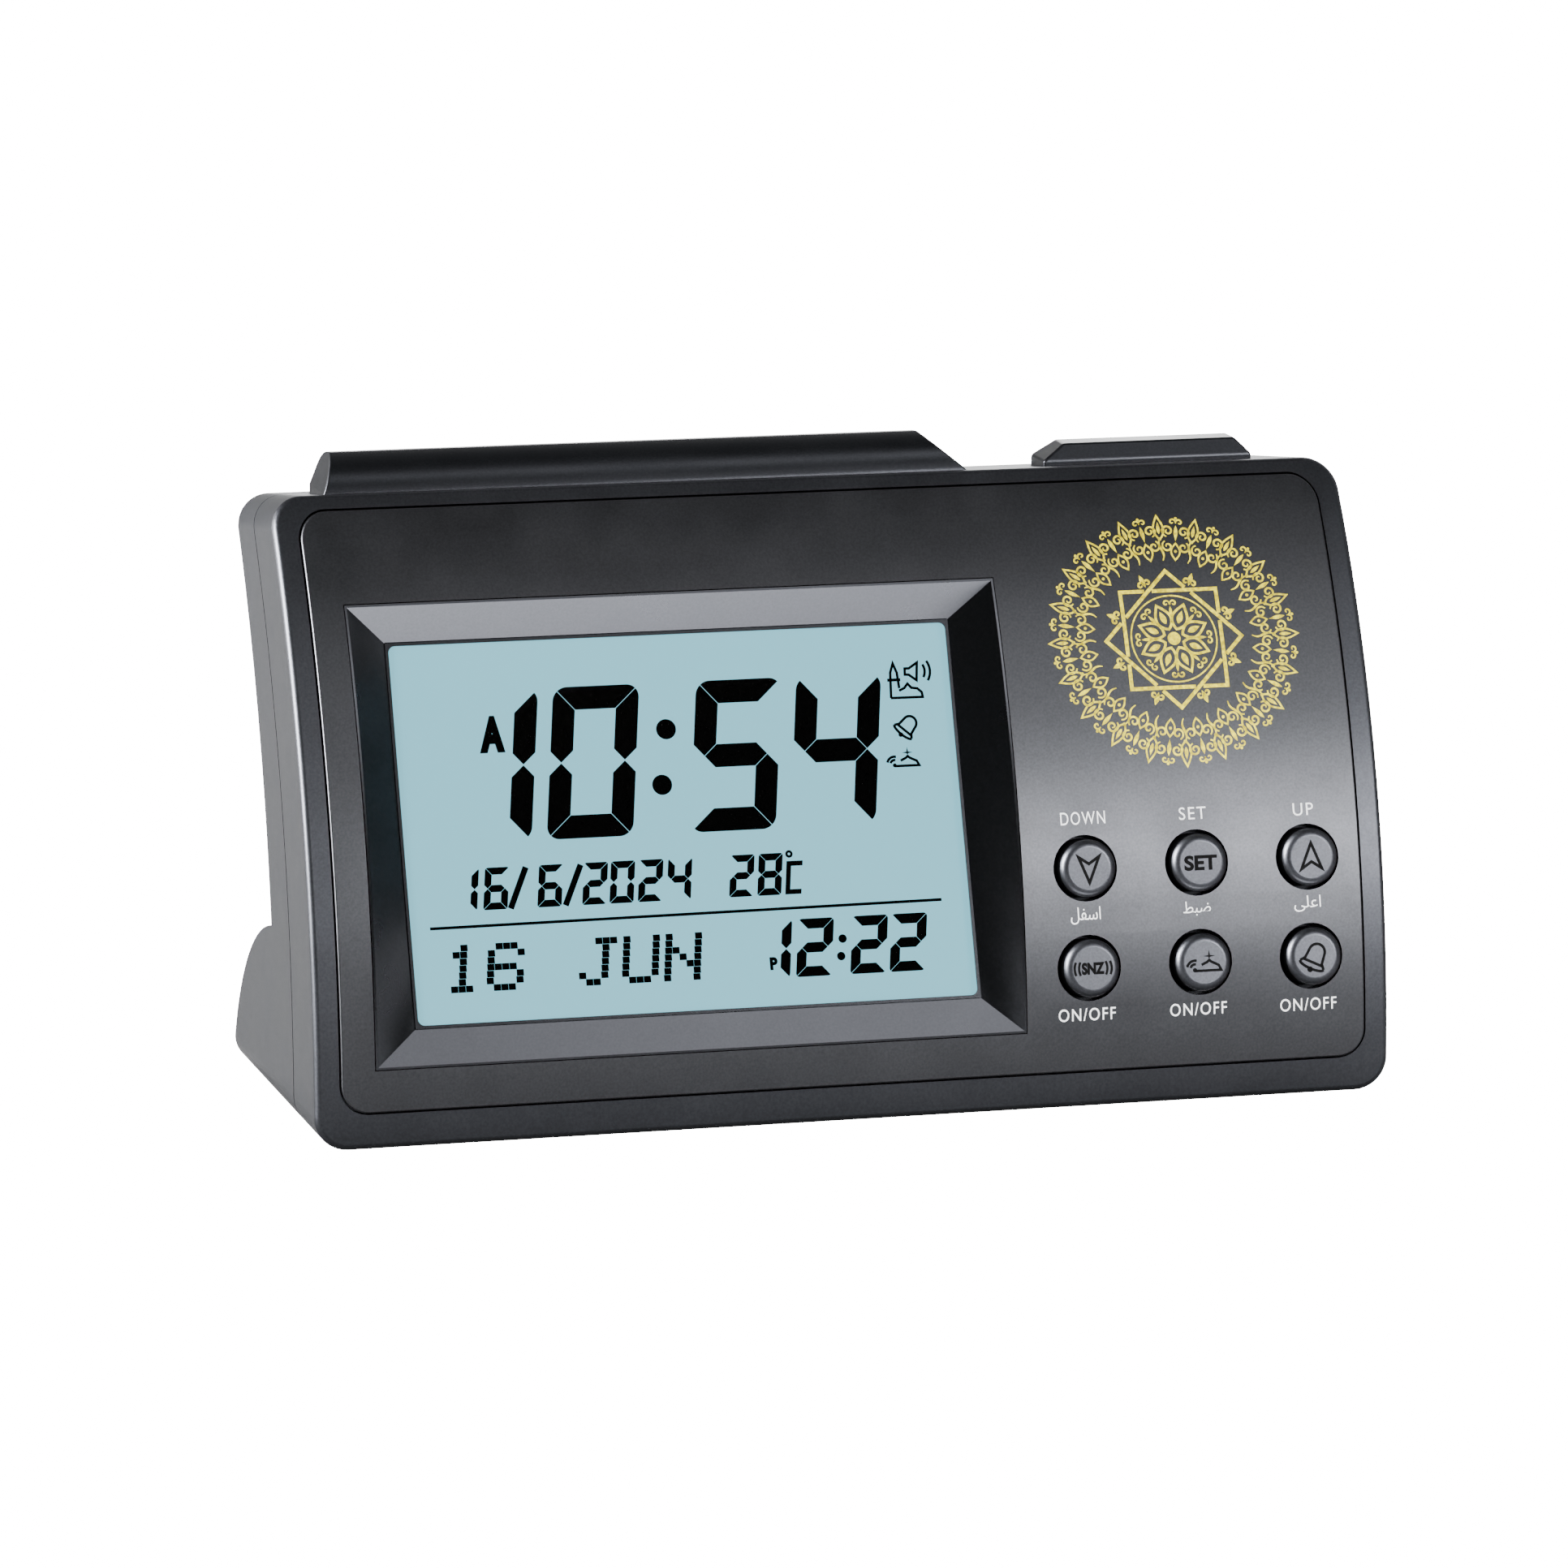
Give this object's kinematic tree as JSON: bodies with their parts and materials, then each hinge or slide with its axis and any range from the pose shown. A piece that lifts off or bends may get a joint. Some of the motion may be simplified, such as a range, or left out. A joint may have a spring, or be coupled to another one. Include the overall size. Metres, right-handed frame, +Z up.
{
  "type": "prayer clock",
  "caption": "Digital prayer clock with a curved housing on a battery foot, a sunken display, round keys, a long light bar on top and a loudspeaker behind.",
  "frame": {"origin": "on the table, under the middle of the object", "axes": "+X to the right seen from the front, +Y from front to back, +Z up"},
  "size_m": [0.18, 0.0635, 0.106],
  "materials": {
    "housing_plastic": "satin black, fine texture",
    "fascia": "dark charcoal satin with a slight metallic sheen",
    "bezel_plastic": "satin black",
    "clear_window": "clear acrylic",
    "lcd": "pale teal reflective display with black segments",
    "light_guide": "milky clear acrylic",
    "lamp": "moulded lamp",
    "connector_rubber": "layered silicone",
    "inner_plastic": "natural white",
    "circuit_board": "green solder mask",
    "chip": "black resin",
    "tin_can": "tinned can",
    "switch_body": "black",
    "plunger_plastic": "moulded",
    "key_plastic": "satin dark grey",
    "bar_plastic": "satin black",
    "basket_steel": "zinc plated",
    "magnet": "sintered, dark grey",
    "paper_cone": "black paper",
    "cell_jacket": "plain printed sleeve",
    "contact_metal": "nickel plated",
    "foot_rubber": "matt black",
    "screw_steel": "zinc plated",
    "red_insulation": "red",
    "black_insulation": "black",
    "grey_sleeve": "grey"
  },
  "bodies": {
    "housing": {"front_shell": "housing_plastic", "rear_shell": "housing_plastic", "fascia_panel": "fascia", "screen_bezel": "bezel_plastic", "display_window": "clear_window", "lcd_panel": "lcd", "backlight_guide": "light_guide", "backlight_led": "lamp", "zebra_strip": "connector_rubber", "lcd_holder": "inner_plastic", "main_board": "circuit_board", "main_chip": "chip", "quartz_crystal": "tin_can", "temperature_sensor": "chip", "key_board": "circuit_board", "key_switches": "switch_body", "top_board": "circuit_board", "top_switches": "switch_body", "speaker_basket": "basket_steel", "speaker_cone": "paper_cone", "speaker_magnet": "magnet", "battery_lower": "cell_jacket", "battery_upper": "cell_jacket", "contact_bridge": "contact_metal", "contact_plus": "contact_metal", "contact_minus": "contact_metal", "rubber_feet": "foot_rubber", "case_screws": "screw_steel", "board_screws": "screw_steel", "speaker_wire_red": "red_insulation", "speaker_wire_black": "black_insulation", "battery_wire_red": "red_insulation", "battery_wire_black": "black_insulation", "key_cable": "grey_sleeve", "top_cable": "grey_sleeve"},
    "down_key": {"down_button": "key_plastic", "down_plunger": "plunger_plastic"},
    "set_key": {"set_button": "key_plastic", "set_plunger": "plunger_plastic"},
    "up_key": {"up_button": "key_plastic", "up_plunger": "plunger_plastic"},
    "snooze_key": {"snooze_button": "key_plastic", "snooze_plunger": "plunger_plastic"},
    "azan_key": {"azan_button": "key_plastic", "azan_plunger": "plunger_plastic"},
    "alarm_key": {"alarm_button": "key_plastic", "alarm_plunger": "plunger_plastic"},
    "light_bar_body": {"light_bar": "bar_plastic", "light_bar_plungers": "plunger_plastic"},
    "top_button_body": {"top_button": "bar_plastic", "top_button_plunger": "plunger_plastic"},
    "door": {"battery_door": "housing_plastic"}
  },
  "joints": [
    {"name": "down_press", "type": "slide", "parent": "housing", "child": "down_key", "axis": [0, 0.9826, -0.1855], "range_m": [0, 0.0005], "stiffness_N_per_m": 600, "springref_m": -0.0005},
    {"name": "set_press", "type": "slide", "parent": "housing", "child": "set_key", "axis": [0, 0.9826, -0.1855], "range_m": [0, 0.0005], "stiffness_N_per_m": 600, "springref_m": -0.0005},
    {"name": "up_press", "type": "slide", "parent": "housing", "child": "up_key", "axis": [0, 0.9826, -0.1855], "range_m": [0, 0.0005], "stiffness_N_per_m": 600, "springref_m": -0.0005},
    {"name": "snooze_press", "type": "slide", "parent": "housing", "child": "snooze_key", "axis": [0, 0.9826, -0.1855], "range_m": [0, 0.0005], "stiffness_N_per_m": 600, "springref_m": -0.0005},
    {"name": "azan_press", "type": "slide", "parent": "housing", "child": "azan_key", "axis": [0, 0.9826, -0.1855], "range_m": [0, 0.0005], "stiffness_N_per_m": 600, "springref_m": -0.0005},
    {"name": "alarm_press", "type": "slide", "parent": "housing", "child": "alarm_key", "axis": [0, 0.9826, -0.1855], "range_m": [0, 0.0005], "stiffness_N_per_m": 600, "springref_m": -0.0005},
    {"name": "light_bar_press", "type": "slide", "parent": "housing", "child": "light_bar_body", "axis": [0, 0, -1], "range_m": [0, 0.0008], "stiffness_N_per_m": 1500, "springref_m": -0.001},
    {"name": "top_button_press", "type": "slide", "parent": "housing", "child": "top_button_body", "axis": [0, 0, -1], "range_m": [0, 0.0008], "stiffness_N_per_m": 800, "springref_m": -0.001},
    {"name": "battery_door_swing", "type": "hinge", "parent": "housing", "child": "door", "pos_m": [0, 0.02939, 0.00633], "axis": [-1, 0, 0], "range_deg": [0, 70]}
  ]
}
